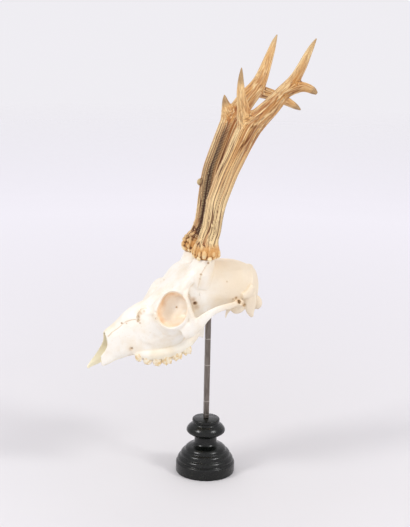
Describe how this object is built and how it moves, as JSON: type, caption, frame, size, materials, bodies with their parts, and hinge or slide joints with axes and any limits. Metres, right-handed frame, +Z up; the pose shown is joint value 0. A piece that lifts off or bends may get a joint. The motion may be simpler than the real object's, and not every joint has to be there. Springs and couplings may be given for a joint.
{
  "type": "mounted roe deer skull",
  "caption": "Bleached roe deer skull with forked antlers, held nose down on a square metal rod above a turned black foot.",
  "frame": {"origin": "centre of the flat underside of the foot", "axes": "+Z up along the stand, -Y where the nose points, +X to the animal's left"},
  "size_m": [0.1345, 0.2566, 0.475],
  "materials": {
    "bone": null,
    "tooth_bone": null,
    "antler_beam": null,
    "antler_tine": null,
    "black_paint": "satin black",
    "rod_metal": "dark, dull"
  },
  "bodies": {
    "root": {"stand_foot": "black_paint", "stand_rod": "rod_metal", "nasal_left": "bone", "premaxilla_left": "bone", "nasal_right": "bone", "premaxilla_right": "bone", "frontal": "bone", "lacrimal_left": "bone", "zygomatic_left": "bone", "lacrimal_right": "bone", "zygomatic_right": "bone", "palatine": "bone", "cranium": "bone", "maxilla_left": "tooth_bone", "maxilla_right": "tooth_bone", "antler_left_front_tine": "antler_tine", "antler_left_back_tine": "antler_tine", "antler_left_top": "antler_tine", "antler_left_beam": "antler_beam", "antler_right_front_tine": "antler_tine", "antler_right_back_tine": "antler_tine", "antler_right_top": "antler_tine", "antler_right_beam": "antler_beam"}
  },
  "joints": []
}
